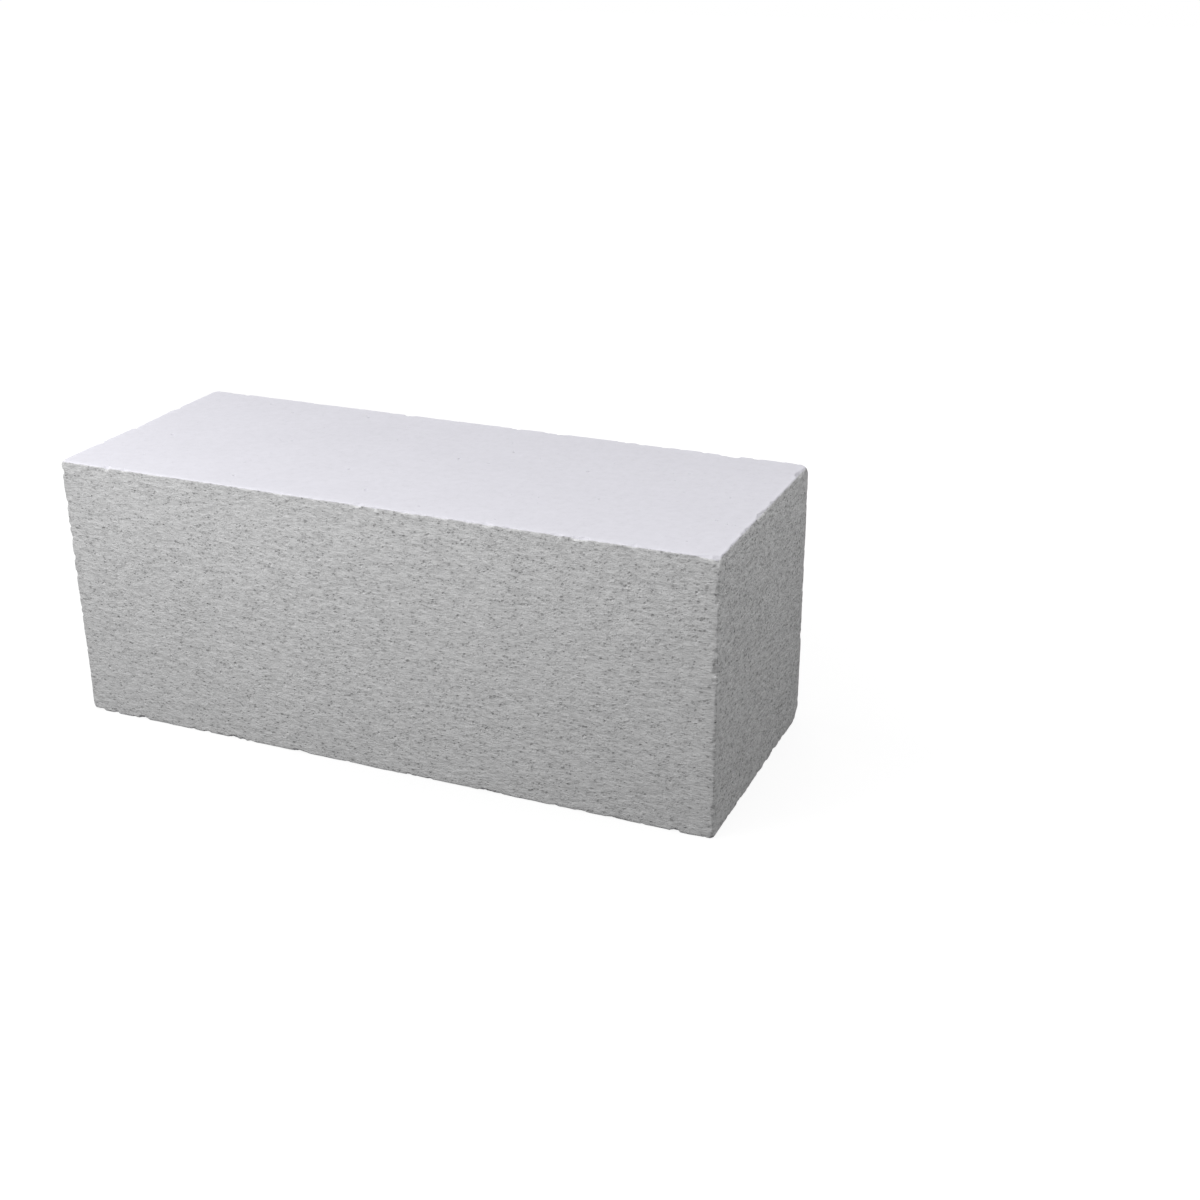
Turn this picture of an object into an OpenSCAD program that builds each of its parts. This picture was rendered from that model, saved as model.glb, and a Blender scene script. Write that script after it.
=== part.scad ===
// Aerated concrete wall block for thin-bed mortar: one solid, wire-sawn from a
// large cast, with plain faces and no grip holes or tongues.
// The origin is the middle of the underside. +X runs along the course, +Y goes
// through the wall and +Z is up. All sizes are in millimetres.

/* [Coursing] */
// Length of one block and its head joint together
course_l = 625; // [300:5:800]
// Height of one block and its bed joint together
course_h = 250; // [150:5:400]
// Thickness of the wall, which is the width of the block
wall_t = 240; // [100:5:400]
// Thin-bed mortar joint that the block leaves room for
joint = 1; // [0.5:0.5:3]

/* [Wear] */
// How far the sawn arrises have crumbled back, measured on each face
arris = 1.5; // [0.5:0.25:3]
// How far an ordinary corner has rubbed off, along each of its edges
corner_wear = 5; // [4.75:0.25:8]
// How far the knocked corner at the top of the far side has gone
knock_top = 8; // [5:0.5:16]
// How far the knocked corner at the foot of the far side has gone
knock_foot = 11; // [5:0.5:20]

/* [Hidden] */

block_l = course_l - joint;
block_h = course_h - joint;

// The plane that takes off a corner leans equally to the three edges there, so
// its normal is the diagonal of a unit cube.
diagonal = sqrt(3);
// Side of the cutter, as a share of the wear: the triangle that the plane cuts
// reaches 0.82 of the wear from its middle.
cutter_share = 2;

// How much has gone from the corner with these signs along X, Y and Z. The
// knocked corners are the two on the far side of the +X end.
function wear_at(s) = s.x < 0 || s.y < 0 ? corner_wear : s.z > 0 ? knock_top : knock_foot;

// A rectangle of a by b about the middle, its corners cut back by the arris
module worn_rectangle(a, b) {
    polygon([
        [a / 2 - arris, -b / 2], [a / 2, arris - b / 2],
        [a / 2, b / 2 - arris], [a / 2 - arris, b / 2],
        [arris - a / 2, b / 2], [-a / 2, b / 2 - arris],
        [-a / 2, arris - b / 2], [arris - a / 2, -b / 2]
    ]);
}

// The sawn block with its twelve arrises worn, about its own middle: what is
// common to the worn plan, the worn elevation and the worn end
module sawn_block() {
    intersection() {
        linear_extrude(block_h, center = true) worn_rectangle(block_l, wall_t);
        rotate([90, 0, 0])
            linear_extrude(wall_t, center = true) worn_rectangle(block_l, block_h);
        rotate([90, 0, 90])
            linear_extrude(block_l, center = true) worn_rectangle(wall_t, block_h);
    }
}

// What has broken off the corner with these signs, back to its plane
module corner_cutter(s) {
    wear = wear_at(s);
    side = cutter_share * wear;
    translate([s.x * block_l, s.y * wall_t, s.z * block_h] / 2)
        rotate([0, acos(s.z / diagonal), atan2(s.y, s.x)])
            translate([-side / 2, -side / 2, -wear / diagonal])
                cube(side);
}

module block() {
    color([0.80, 0.80, 0.82])
        translate([0, 0, block_h / 2])
            difference() {
                sawn_block();
                for (x = [-1, 1], y = [-1, 1], z = [-1, 1])
                    corner_cutter([x, y, z]);
            }
}

block();
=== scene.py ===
# %% [markdown]
# # A wall block of aerated concrete
#
# The real block starts as a cake of mortar full of gas bubbles. While the cake is still
# soft, taut wires saw it into blocks, and steam then hardens them. So the block is one
# piece with six plain faces. What tells it from a white box is small: smooth bed faces,
# stippled sawn sides, bubbles that the wire has cut open, and arrises that have crumbled.
#
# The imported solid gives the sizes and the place. This lesson makes a skin of the same
# size with those small things on it, gives it a matte mineral finish and lights it.

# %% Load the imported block
import math
import random

import bmesh
import bpy
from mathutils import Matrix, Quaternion, Vector, noise


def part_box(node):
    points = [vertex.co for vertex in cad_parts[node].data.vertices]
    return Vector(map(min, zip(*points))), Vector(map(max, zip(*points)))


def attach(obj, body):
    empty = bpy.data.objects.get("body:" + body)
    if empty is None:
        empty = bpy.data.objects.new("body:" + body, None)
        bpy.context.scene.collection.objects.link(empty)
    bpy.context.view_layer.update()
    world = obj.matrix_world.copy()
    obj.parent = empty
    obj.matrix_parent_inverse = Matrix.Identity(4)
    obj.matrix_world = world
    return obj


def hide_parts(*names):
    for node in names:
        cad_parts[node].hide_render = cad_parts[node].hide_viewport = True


MM = 0.001

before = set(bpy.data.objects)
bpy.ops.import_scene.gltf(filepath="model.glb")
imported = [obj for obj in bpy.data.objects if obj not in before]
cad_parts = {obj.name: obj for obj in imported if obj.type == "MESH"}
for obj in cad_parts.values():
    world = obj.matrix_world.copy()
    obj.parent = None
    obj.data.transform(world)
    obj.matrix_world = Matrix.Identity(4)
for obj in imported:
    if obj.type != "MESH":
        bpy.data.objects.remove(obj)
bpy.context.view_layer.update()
low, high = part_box("block")
half = (high - low) / 2
middle = (low + high) / 2
print("block, mm:", [round(side / MM, 1) for side in high - low])

# %% [markdown]
# ## The camera
#
# The block is seen from a little above, with its near long side, its right-hand end and
# its top in view. A camera can be placed by typing three coordinates, but then nobody can
# tell what it looks at. Here it gets a point to aim at, a distance and three angles, which
# is how anybody would describe it. The last angle is a slight tilt of the frame.

# %% Aim the camera
lens_mm = 50.6
aim = Vector((212.6, -120, 198.5)) * MM
distance = 1.3413
azimuth = math.radians(23.05)
elevation = math.radians(23.35)
tilt = math.radians(-0.34)

backwards = Vector((
    math.sin(azimuth) * math.cos(elevation),
    -math.cos(azimuth) * math.cos(elevation),
    math.sin(elevation),
))
lens = bpy.data.cameras.new("camera")
lens.lens = lens_mm
lens.sensor_width = 36
camera = bpy.data.objects.new("camera", lens)
camera.location = aim + backwards * distance
upright = backwards.to_track_quat("Z", "Y")
camera.rotation_euler = (upright @ Quaternion((0, 0, 1), tilt)).to_euler()
bpy.context.collection.objects.link(camera)
bpy.context.scene.camera = camera
print("camera at, m:", [round(value, 3) for value in camera.location])

# %% [markdown]
# ## The sawn skin
#
# Fine relief needs a fine mesh, but a mesh that is fine everywhere is heavy. The flat
# faces only have to carry bubbles a few millimetres wide, so a coarse lattice does there.
# The arrises and corners crumble on a scale of one millimetre, and they make the outline,
# so the lattice is fine along them.
#
# One way is to subdivide a cube. Its sides are of different lengths, though, so the cells
# would come out stretched. Cutting the cube across with planes, as the wires do, gives
# square cells and puts a line exactly where it is wanted.

# %% Saw a cube into a lattice
cell = 6 * MM
fine = cell / 5
skin = bmesh.new()
bmesh.ops.create_cube(skin, size=1)
bmesh.ops.scale(skin, vec=high - low, verts=skin.verts)


def saw(mesh, axis, place):
    """Cuts the mesh across at one place along an axis."""
    across = Vector((0, 0, 0))
    across[axis] = 1
    everything = mesh.verts[:] + mesh.edges[:] + mesh.faces[:]
    bmesh.ops.bisect_plane(mesh, geom=everything, plane_co=across * place, plane_no=across)


for axis in range(3):
    inner = half[axis] - cell
    cells = round(2 * inner / cell)
    for step in range(cells + 1):
        saw(skin, axis, inner * (2 * step / cells - 1))
    for step in range(1, round(cell / fine)):
        saw(skin, axis, half[axis] - step * fine)
        saw(skin, axis, step * fine - half[axis])
print("lattice faces:", len(skin.faces))

# %% [markdown]
# The lines next to an arris are fine across it, but still coarse along it. The same goes
# for the corners. Subdividing only the long edges there turns those cells into small
# squares. How near a point is to an arris follows from how much room it has to the
# block's six planes: on a face the smallest of the three rooms is 0, the next one is the
# distance to the arris, and the last one is the distance to the end of that arris.

# %% Refine along the arrises and at the corners
corner_zone = 20 * MM
arris_zone = cell - fine / 2


def rooms(point):
    """Room between a point and the block's planes, smallest first, one for each axis."""
    return sorted(half[axis] - abs(point[axis]) for axis in range(3))


def needs_refining(edge):
    """True for a coarse edge that is close to an arris or a corner."""
    if edge.calc_length() < 2 * fine:
        return False
    _, to_arris, to_corner = rooms((edge.verts[0].co + edge.verts[1].co) / 2)
    return to_arris < arris_zone or to_corner < corner_zone


bmesh.ops.subdivide_edges(
    skin,
    edges=[edge for edge in skin.edges if needs_refining(edge)],
    cuts=round(cell / fine) - 1,
    use_grid_fill=True,
)
print("refined faces:", len(skin.faces))

# %% [markdown]
# ## Where each point lies
#
# Later steps move the points, so what they need to know about the sound block is written
# down now, as attributes that stay with the points: whether a point is on a bed face or on
# an end, and how close it is to an arris. The finish reads the same attributes. They are
# numbers from 0 to 1 and not yes or no, so that one finish fades into the next.

# %% Mark the beds and the arrises
worn_band = 7 * MM

on_bed = skin.verts.layers.float.new("on_bed")
on_end = skin.verts.layers.float.new("on_end")
near_arris = skin.verts.layers.float.new("near_arris")
in_bubble = skin.verts.layers.float.new("in_bubble")

for vert in skin.verts:
    to_face, to_arris, _ = rooms(vert.co)
    vert[on_bed] = float(half.z - abs(vert.co.z) < fine / 2)
    vert[on_end] = float(half.x - abs(vert.co.x) < fine / 2)
    vert[near_arris] = max(0, 1 - to_arris / worn_band)
print("points on the beds:", sum(vert[on_bed] > 0.5 for vert in skin.verts))

# %% [markdown]
# ## Bubbles that the wire has cut open
#
# The wire opens bubbles all over the sawn sides. The bed faces show few, because slurry
# has closed them. A bubble is a round hole with a sharp rim and a hollow floor.
#
# A Boolean with thousands of balls would cut them, but it is slow and leaves slivers. A
# vertex bevel does it with little: it opens a small patch around a point of the lattice,
# the patch's rim is pushed out to a rough circle, and an inset with a step down makes the
# wall and the floor. The lattice is shaken first, so that the bubbles stand in no rows.

# %% Shake the lattice and choose the bubbles
chance = random.Random(4)
shake = 1.3 * MM
side_share = 0.195
bed_share = 0.035


def outward(point):
    """The direction out of the block from a point on one of its faces."""
    axis = min(range(3), key=lambda which: half[which] - abs(point[which]))
    direction = Vector((0, 0, 0))
    direction[axis] = math.copysign(1, point[axis])
    return direction


def on_coarse_lattice(vert):
    """True if all the cells around a point are coarse ones."""
    return min(edge.calc_length() for edge in vert.link_edges) > 2 * fine


loose = [vert for vert in skin.verts if on_coarse_lattice(vert)]
for vert in loose:
    move = Vector([chance.uniform(-shake, shake) for _ in range(3)])
    out = outward(vert.co)
    vert.co += move - out * move.dot(out)

chosen = []
for vert in loose:
    share = bed_share if vert[on_bed] > 0.5 else side_share
    if chance.random() < share:
        chosen.append(vert)
print("bubbles:", len(chosen))

# %% Open the bubbles
smallest, largest = 0.4 * MM, 1.9 * MM

opened = bmesh.ops.bevel(
    skin,
    geom=chosen,
    offset=smallest / 2,
    offset_type="OFFSET",
    affect="VERTICES",
    segments=2,
    profile=0.5,
    material=-1,
)
patches = set(opened["faces"])
hearts = [vert for vert in opened["verts"] if all(face in patches for face in vert.link_faces)]

bubbles = []
for heart in hearts:
    # A set has no fixed order, so without the sorting each run would deal the same chances
    # to other points and make other holes.
    rim = {vert for face in heart.link_faces for vert in face.verts} - {heart}
    rim = sorted(rim, key=lambda vert: tuple(vert.co))
    radius = smallest + (largest - smallest) * chance.random() ** 3
    for vert in rim:
        spoke = (vert.co - heart.co).normalized()
        vert.co = heart.co + spoke * radius * chance.uniform(0.8, 1.15)
    bubbles.append((heart, outward(heart.co), radius))
print("widest bubble, mm:", round(2 * max(radius for _, _, radius in bubbles) / MM, 1))

# %% [markdown]
# The inset is made once for all the patches, with next to no width. Each bubble's floor is
# then drawn in and sunk by its own amount, because the wire has cut some bubbles through
# the middle and only nicked others.

# %% Sink the floors
floor_width = 0.72
floor_edge_depth = 0.75

walls = bmesh.ops.inset_region(
    skin,
    faces=opened["faces"],
    thickness=smallest / 10,
    depth=0,
    use_boundary=True,
    use_even_offset=True,
)["faces"]
hollow = patches.union(walls)
rims = {edge for face in walls for edge in face.edges if not hollow.issuperset(edge.link_faces)}
print("rim edges:", len(rims))

for heart, out, radius in bubbles:
    depth = radius * chance.uniform(0.35, 0.85)
    around = {vert for face in heart.link_faces for vert in face.verts} - {heart}
    for vert in around:
        vert.co = heart.co + (vert.co - heart.co) * floor_width - out * depth * floor_edge_depth
        vert[in_bubble] = 1
    heart.co -= out * depth
    heart[in_bubble] = 1

# %% [markdown]
# ## A map for painting
#
# The finish below needs no map, but a game or a viewer can only show the block with a
# picture on it, so the block carries a map to paint one on. Blender can unwrap a mesh by
# itself, and would then cut each bubble's wall loose as an island of its own. Here each
# face of the block is simply laid flat, bubbles and all. That is done before the wear, so
# a worn arris keeps the room that it had when it was sharp.

# %% Lay the six faces out in a square
gap = 6 * MM
length, width, height = high - low
# The face's axis and side, the two axes it is measured along, and its corner in the sheet.
sheet = {
    (1, -1): (0, 2, gap, gap),
    (1, 1): (0, 2, gap, height + 2 * gap),
    (2, 1): (0, 1, gap, 2 * height + 3 * gap),
    (2, -1): (0, 1, gap, 2 * height + width + 4 * gap),
    (0, 1): (1, 2, length + 2 * gap, gap),
    (0, -1): (1, 2, length + 2 * gap, height + 2 * gap),
}
sheet_side = 2 * height + 2 * width + 5 * gap
layout = skin.loops.layers.uv.new("OFBake")
for face in skin.faces:
    out = outward(face.calc_center_median())
    axis = max(range(3), key=lambda which: abs(out[which]))
    across, up, left, foot = sheet[axis, int(out[axis])]
    for loop in face.loops:
        place = loop.vert.co + half
        loop[layout].uv = (left + place[across]) / sheet_side, (foot + place[up]) / sheet_side
print("sheet, mm:", round(sheet_side / MM))

# %% [markdown]
# ## Wear
#
# Sawn aerated concrete is soft enough to scratch with a nail, so its arrises crumble and
# its corners get knocked in handling. Each kind of wear is a rule that moves a point
# inwards, and all the points go through the rules one after the other.
#
# - An arris is rounded. The point is drawn towards a smaller box inside the block, and
#   how much smaller that box is changes from place to place.
# - Crumbs have broken out of it all along. Each leaves a rough slope between the two faces.
# - A chip is a ball-shaped bite out of an arris.
# - A knocked corner is broken off along a rough plane.
# - The sawn faces wander a little, as a taut wire does.

# %% Round the arrises


def hum(point, size, channel):
    """Smooth noise from -1 to 1 with bumps of a given size. Channels don't resemble each other."""
    return noise.noise(point / size + Vector((channel, 0, 0)) * 37.7)


def rounded(point):
    """A point of the skin after the arrises have been rounded."""
    radius = 1.5 + 0.8 * hum(point, 9 * MM, 1) + 1.2 * hum(point, 26 * MM, 2)
    radius = min(max(radius, 0.4), 4) * MM
    core = Vector([
        min(max(point[axis], radius - half[axis]), half[axis] - radius) for axis in range(3)
    ])
    from_core = point - core
    if from_core.length <= radius:
        return point
    return core + from_core.normalized() * radius


# %% Break out crumbs


def crumbled(point):
    """A point of the skin after crumbs have broken out of the arrises."""
    room = Vector([half[axis] - abs(point[axis]) for axis in range(3)])
    first, second = sorted(range(3), key=lambda axis: room[axis])[:2]
    loss = -0.1 + 4.2 * hum(point, 10 * MM, 12)
    loss += 3.2 * hum(point, 21 * MM, 13)
    loss += 1.2 * hum(point, 4 * MM, 14)
    short = loss * MM - (room[first] + room[second]) / math.sqrt(2)
    if short <= 0:
        return point
    moved = point.copy()
    for axis in (first, second):
        moved[axis] -= math.copysign(short / math.sqrt(2), point[axis])
    return moved


# %% Break off the corners
# How far each corner has gone along X, Y and Z, in millimetres. The corner's signs say
# where it is: (1, 1, -1) is at the +X end, on the far side, at the foot.
corner_losses = {
    (1, 1, 1): (10, 8, 7.5),
    (1, 1, -1): (10, 13, 13),
    (1, -1, 1): (11, 9, 8),
    (1, -1, -1): (4, 4, 4.5),
    (-1, 1, 1): (5, 7, 5),
    (-1, 1, -1): (6, 5, 4),
    (-1, -1, 1): (6, 4, 5),
    (-1, -1, -1): (4, 6, 6),
}


def knocked(point):
    """A point of the skin after the corners have broken off."""
    signs = Vector([math.copysign(1, value) for value in point])
    loss = corner_losses[tuple(int(sign) for sign in signs)]
    slope = Vector([1 / (side * MM) for side in loss])
    room = Vector([half[axis] - abs(point[axis]) for axis in range(3)])
    short = (1 - room.dot(slope)) / slope.length + 0.7 * MM * hum(point, 6 * MM, 4)
    if short <= 0 or room.length > corner_zone:
        return point
    return point - signs * slope.normalized() * short


# %% Bite the chips
# Chips on the upper near arris, in millimetres from the middle of the block: where each
# one is, how deep it goes and the radius of the ball. The others fall anywhere.
placed_chips = [(45, 2.0, 7), (101, 1.6, 6), (176, 2.4, 8), (252, 1.3, 6)]
chance_chips = 60

chips = []
for along, depth, ball in placed_chips:
    way = Vector((0, -1, 1)).normalized()
    chips.append((Vector((along * MM, -half.y, half.z)), way, depth * MM, ball * MM))
for _ in range(chance_chips):
    axis = chance.choice((0, 0, 0, 1, 2))
    place = Vector([chance.choice((-1, 1)) * half[side] for side in range(3)])
    way = place.copy()
    place[axis] = chance.uniform(-0.95, 0.95) * half[axis]
    way = Vector([
        0 if side == axis else math.copysign(1, way[side]) for side in range(3)
    ]).normalized()
    depth = chance.uniform(0.8, 2.4) * MM
    chips.append((place, way, depth, depth * chance.uniform(2.5, 4)))


def bitten(point):
    """A point of the skin after the chips have come out of the arrises."""
    for place, way, depth, ball in chips:
        centre = place + way * (ball - depth)
        offset = point - centre
        reach = ball * (1 + 0.12 * hum(point, 3 * MM, 5))
        if offset.length < reach:
            point = centre + offset.normalized() * reach
    return point


# %% Let the saw wander


def wandered(point):
    """A point of the skin after the faces have been made as uneven as a wire leaves them."""
    moved = point.copy()
    for axis in range(3):
        on_face = max(0, 1 - (half[axis] - abs(point[axis])) / (3 * MM))
        sway = 0.16 * (1 + hum(point, 90 * MM, 6 + axis))
        sway += 0.06 * (1 + hum(point, 22 * MM, 9 + axis))
        moved[axis] -= math.copysign(sway * MM * on_face, point[axis])
    return moved


# %% Wear the skin
for vert in skin.verts:
    if vert[near_arris] > 0:
        vert.co = bitten(knocked(crumbled(rounded(vert.co))))
    vert.co = wandered(vert.co)

for face in skin.faces:
    face.smooth = True
for edge in rims:
    edge.smooth = False
skin.normal_update()
places = [[vert.co[axis] for vert in skin.verts] for axis in range(3)]
print("skin, mm:", [round((max(line) - min(line)) / MM, 2) for line in places])

# %% [markdown]
# ## The piece
#
# The skin was made about its own middle, where the wear rules are simplest. It moves to
# the block's place as mesh, so the object itself stays at the origin, unturned.

# %% Make the piece
bmesh.ops.translate(skin, vec=middle, verts=skin.verts)
mesh = bpy.data.meshes.new("worn_block")
skin.to_mesh(mesh)
skin.free()
block = bpy.data.objects.new("worn_block", mesh)
bpy.context.collection.objects.link(block)
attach(block, "root")
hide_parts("block")
mesh.calc_loop_triangles()
print("triangles:", len(mesh.loop_triangles))

# %% [markdown]
# ## Helpers for the finish
#
# A finish is a tree of nodes. Three helpers keep the cells below short: one adds a node
# with its settings and inputs, one does a sum, and one starts a node group. An input that
# is given a socket is linked to it, and any other value is simply set.

# %% Node helpers


def add(tree, kind, inputs, **settings):
    """Adds a shader node, makes its settings, sets or links its inputs, and returns its outputs."""
    node = tree.nodes.new("ShaderNode" + kind)
    for name, value in settings.items():
        setattr(node, name, value)
    for name, value in inputs.items():
        if isinstance(value, bpy.types.NodeSocket):
            tree.links.new(value, node.inputs[name])
        else:
            node.inputs[name].default_value = value
    return node.outputs


def calc(tree, operation, *values, clamp=False):
    """The socket that holds a sum, such as calc(tree, "MULTIPLY", height, 0.5)."""
    return add(tree, "Math", dict(enumerate(values)), operation=operation, use_clamp=clamp)[0]


def new_group(name, inputs, output):
    """An empty node group: its tree, its input sockets and the socket of its only output."""
    group = bpy.data.node_groups.new(name, "ShaderNodeTree")
    for socket, kind in inputs.items():
        group.interface.new_socket(socket, in_out="INPUT", socket_type="NodeSocket" + kind)
    group.interface.new_socket(output, in_out="OUTPUT", socket_type="NodeSocketFloat")
    given = group.nodes.new("NodeGroupInput").outputs
    return group, given, group.nodes.new("NodeGroupOutput").inputs[output]


# %% [markdown]
# ## Bubbles too small to model
#
# Most of the bubbles are under a millimetre and a half across. Modelled, they would take
# millions of faces, so the finish draws them. A Voronoi texture fills space with random
# points, as bubbles fill the cake. The faces cut through that space as the wire cut
# through the foam, so the holes differ in size by themselves. The group turns the distance
# to the nearest point into the depth of a ball-shaped hole, from 0 to 1. Dividing the
# coordinates by a size sets how far apart the holes are, and how much the wire has drawn
# them out along its way.

# %% Group for cut bubbles
bubble_group, given, result = new_group(
    "cut_bubbles",
    {"Vector": "Vector", "Size": "Vector", "Fullness": "Float", "Share": "Float"},
    "Depth",
)
spread = add(
    bubble_group, "VectorMath", {0: given["Vector"], 1: given["Size"]}, operation="DIVIDE"
)[0]
foam = add(bubble_group, "TexVoronoi", {"Vector": spread, "Scale": 1})
lot = add(bubble_group, "SeparateColor", {"Color": foam["Color"]})
least = 0.4
size = calc(bubble_group, "MULTIPLY_ADD", lot["Red"], 1 - least, least)
ball = calc(bubble_group, "MULTIPLY", size, given["Fullness"])
from_heart = calc(bubble_group, "DIVIDE", foam["Distance"], ball)
squared = calc(bubble_group, "POWER", from_heart, 2)
under_rim = calc(bubble_group, "SUBTRACT", 1, squared, clamp=True)
there = calc(bubble_group, "LESS_THAN", lot["Green"], given["Share"])
bowl = calc(bubble_group, "MULTIPLY", calc(bubble_group, "SQRT", under_rim), there)
bubble_group.links.new(bowl, result)

# %% [markdown]
# ## Stipple from the saw wire
#
# The wire drags crumbs of the soft cake along, and leaves short scales that lie in the
# direction it ran: level, on the long sides and on the ends alike. A noise texture makes
# bumps, and squeezing its height makes them lie level on all four sides at once. That works
# because the pattern fills space, so no side needs a map of its own. The height is given
# above and below 0, so that more stipple doesn't make the block paler.

# %% Group for the saw's stipple
stipple_group, given, result = new_group(
    "sawn_stipple",
    {"Vector": "Vector", "Size": "Vector", "Detail": "Float"},
    "Height",
)
squeezed = add(
    stipple_group, "VectorMath", {0: given["Vector"], 1: given["Size"]}, operation="DIVIDE"
)[0]
bumps = add(
    stipple_group,
    "TexNoise",
    {"Vector": squeezed, "Scale": 1, "Detail": given["Detail"], "Roughness": 0.6},
)
stipple_group.links.new(calc(stipple_group, "SUBTRACT", bumps["Fac"], 0.5), result)

# %% [markdown]
# ## The finish
#
# Aerated concrete is chalky and quite matte. Its colour is a very pale grey that hardly
# changes from place to place. What the eye takes for a darker grey on the sides is mostly
# the shade inside thousands of small holes, so the holes and the low parts of the stipple
# get a darker colour as well as a depth: that darker colour is painted shade, because a
# bump alone can't cast a shadow. The attributes fade the stipple out on the beds and make
# it rougher on the ends, where the wire ran across the cake. The beds get a faint lavender
# cast, which is painted light: it stands in for a cool tint of the light on the top.
# Towards an arris the beds turn a little paler and the sides a little darker.
#
# Holes also cluster, because they show where the wire has torn the surface low. So the
# stipple's height decides how deep the drawn holes are.

# %% Sawn concrete: heights
sawn = bpy.data.materials.new("aerated_concrete")
sawn.use_nodes = True
tree = sawn.node_tree
tree.nodes.clear()

here = add(tree, "TexCoord", {})["Object"]
bed = add(tree, "Attribute", {}, attribute_name="on_bed")["Fac"]
edge = add(tree, "Attribute", {}, attribute_name="near_arris")["Fac"]
end = add(tree, "Attribute", {}, attribute_name="on_end")["Fac"]
bubble_shade_mask = add(tree, "Attribute", {}, attribute_name="in_bubble")["Fac"]
side = calc(tree, "SUBTRACT", 1, bed, clamp=True)


def stipple(size, detail):
    """Bumps of a given size in millimetres, as a height above and below 0."""
    given = {"Vector": here, "Size": Vector(size) * MM, "Detail": detail}
    return add(tree, "Group", given, node_tree=stipple_group)["Height"]


def bubble(size, fullness, share):
    """Cut bubbles a given number of millimetres apart, as a depth from 0 to 1."""
    given = {"Vector": here, "Size": Vector(size) * MM, "Fullness": fullness, "Share": share}
    return add(tree, "Group", given, node_tree=bubble_group)["Depth"]


scales = stipple((7.0, 7.3, 3.1), 3)
grains = stipple((1.4, 1.4, 1.1), 2)
clouds = stipple((70, 70, 50), 3)
torn = calc(tree, "MULTIPLY_ADD", scales, -2.5, 0.6, clamp=True)
holes = calc(tree, "MULTIPLY", bubble((3.4, 3.3, 3.0), 0.5, 0.8), torn)
pricks = bubble((1.6, 1.7, 1.2), 0.5, 0.8)


def total(first, *rest):
    """Adds up (socket, share) pairs."""
    found = calc(tree, "MULTIPLY", *first)
    for socket, share in rest:
        found = calc(tree, "MULTIPLY_ADD", socket, share, found)
    return found


relief = total((scales, 1.5), (grains, 0.4), (holes, -0.7), (pricks, -0.2))
roughness_here = total((side, 0.76), (end, 0.3), (bed, 0.07))
relief_here = calc(tree, "MULTIPLY", relief, roughness_here)
bump = add(tree, "Bump", {"Strength": 1, "Distance": MM, "Height": relief_here})["Normal"]
print("heights made")

# %% Sawn concrete: colour
# Painted shade: the drawn holes and the low parts of the stipple get a darker colour, and its
# crests a lighter one, in place of the shade that the relief would cast.
painted_cavity_shade = total((holes, -0.32), (pricks, -0.14), (scales, 0.88), (grains, 0.2))
cavity_shade_here = total((side, 0.81), (end, 0.25), (bed, 0.12))
painted_cavity_shade = calc(tree, "MULTIPLY", painted_cavity_shade, cavity_shade_here)
# Towards an arris the beds are made paler and the sides a little darker.
bed_paler_at_arris = calc(tree, "MULTIPLY", edge, bed)
side_darker_at_arris = calc(tree, "MULTIPLY", edge, side)
# Painted shade: the floors and walls of the modelled bubbles are made darker.
tone = total((painted_cavity_shade, 1), (bubble_shade_mask, -0.13), (clouds, 0.055), (bed_paler_at_arris, 0.07), (side_darker_at_arris, -0.05))
tone = calc(tree, "ADD", tone, 1)
# The beds' lavender cast is painted light: it stands in for a cool tint of the light falling on the
# top. Their paleness, the same as the sides', is the concrete's own.
side_pale = Vector((0.744, 0.744, 0.747))
bed_pale_and_light_tint = Vector((0.743, 0.735, 0.791))
pale = add(
    tree, "VectorMath", {0: bed, 1: bed_pale_and_light_tint - side_pale, 2: side_pale}, operation="MULTIPLY_ADD"
)[0]
colour = add(tree, "VectorMath", {0: pale, "Scale": tone}, operation="SCALE")[0]
rough = total((grains, 0.10), (edge, 0.05))
rough = calc(tree, "ADD", rough, 0.84, clamp=True)
shader = add(
    tree,
    "BsdfPrincipled",
    {"Base Color": colour, "Roughness": rough, "Normal": bump, "Specular IOR Level": 0.25},
)["BSDF"]
add(tree, "OutputMaterial", {"Surface": shader})
mesh.materials.append(sawn)
print("nodes in the finish:", len(tree.nodes))

# %% [markdown]
# ## Floor, light and backdrop
#
# A studio sweep is white because it is lit far more than the object. Here the same is done
# without any more light: the floor and the world are white only to the camera, and to
# reflections. The floor is still a matte surface under that white, so it keeps the block's
# soft shadow. Its glow rises away from the block, so that it ends in no horizon.

# %% Floor and world
floor_grey = (0.18, 0.18, 0.18, 1)
glow_at_block = 0.84
glow_rise = 0.1
room_light = 0.14

floor_mesh = bpy.data.meshes.new("floor")
ground = bmesh.new()
bmesh.ops.create_grid(ground, x_segments=1, y_segments=1, size=8)
ground.to_mesh(floor_mesh)
ground.free()
floor = bpy.data.objects.new("floor", floor_mesh)
bpy.context.collection.objects.link(floor)


def seen_directly(tree):
    """1 for the camera and for mirror-like rays, 0 for light that spreads."""
    path = add(tree, "LightPath", {})
    either = calc(tree, "MAXIMUM", path["Is Camera Ray"], path["Is Glossy Ray"])
    return calc(tree, "MAXIMUM", either, path["Is Transmission Ray"])


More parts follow.
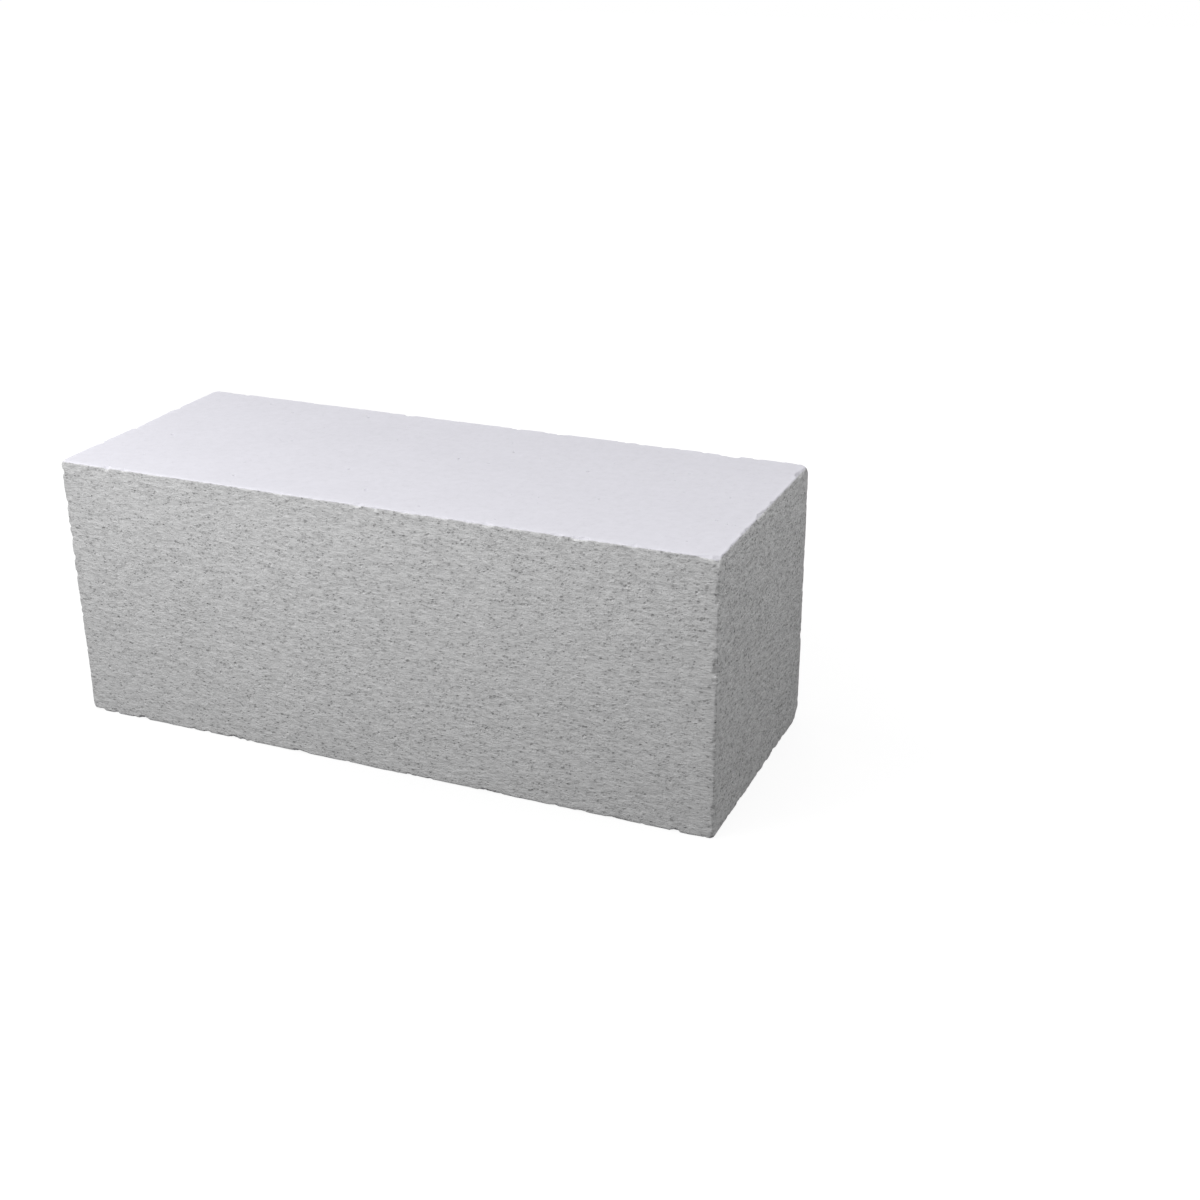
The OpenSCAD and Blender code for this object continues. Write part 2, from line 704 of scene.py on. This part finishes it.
sweep = bpy.data.materials.new("studio_floor")
sweep.use_nodes = True
tree = sweep.node_tree
tree.nodes.clear()
paint = add(tree, "BsdfDiffuse", {"Color": floor_grey})["BSDF"]
from_block = add(
    tree, "VectorMath", {0: add(tree, "TexCoord", {})["Object"]}, operation="LENGTH"
)["Value"]
rise = calc(tree, "MULTIPLY_ADD", from_block, glow_rise, glow_at_block)
glow = calc(tree, "MULTIPLY", seen_directly(tree), calc(tree, "MINIMUM", rise, 1))
white = add(tree, "Emission", {"Strength": glow})["Emission"]
both = add(tree, "AddShader", {0: paint, 1: white})["Shader"]
add(tree, "OutputMaterial", {"Surface": both})
floor_mesh.materials.append(sweep)

world = bpy.data.worlds.new("studio")
world.use_nodes = True
tree = world.node_tree
tree.nodes.clear()
level = calc(tree, "MAXIMUM", seen_directly(tree), room_light)
sky = add(tree, "Background", {"Color": (1, 1, 1, 1), "Strength": level})["Background"]
add(tree, "OutputWorld", {"Surface": sky})
bpy.context.scene.world = world
bpy.context.scene.view_settings.view_transform = "Standard"
print("floor and world made")

# %% [markdown]
# ## Lamps
#
# Concrete is too matte to show highlights, so what gives the block its form is that each
# face gets its own amount of light. Five large soft lamps stand around it. Those in front
# are strong together and the one on the right is weak, so the long side comes out lighter
# than the end. None hangs overhead: the top is turned to all five and is the lightest as
# it is. Each lamp is given by its place, its size and its power.

# %% Place the lamps
lamps = {
    "soft_left": ((-0.9, 0.0, 0.9), (0.6, 0.8), 3.9),
    "soft_front_left": ((-0.6, -0.75, 0.8), (0.8, 0.6), 4.3),
    "soft_front": ((0.0, -0.75, 0.8), (1.0, 0.6), 4.05),
    "soft_right": ((0.85, 0.0, 0.8), (0.6, 0.8), 2.97),
    "soft_behind": ((0.0, 0.95, 0.6), (1.0, 0.6), 3.8),
}
for name, (place, size, watts) in lamps.items():
    lamp = bpy.data.lights.new(name, "AREA")
    lamp.shape = "RECTANGLE"
    lamp.size, lamp.size_y = size
    lamp.energy = watts
    holder = bpy.data.objects.new(name, lamp)
    holder.location = place
    holder.rotation_euler = (Vector(place) - middle).to_track_quat("Z", "Y").to_euler()
    holder.visible_camera = False
    bpy.context.collection.objects.link(holder)
print("lamps:", len(lamps))
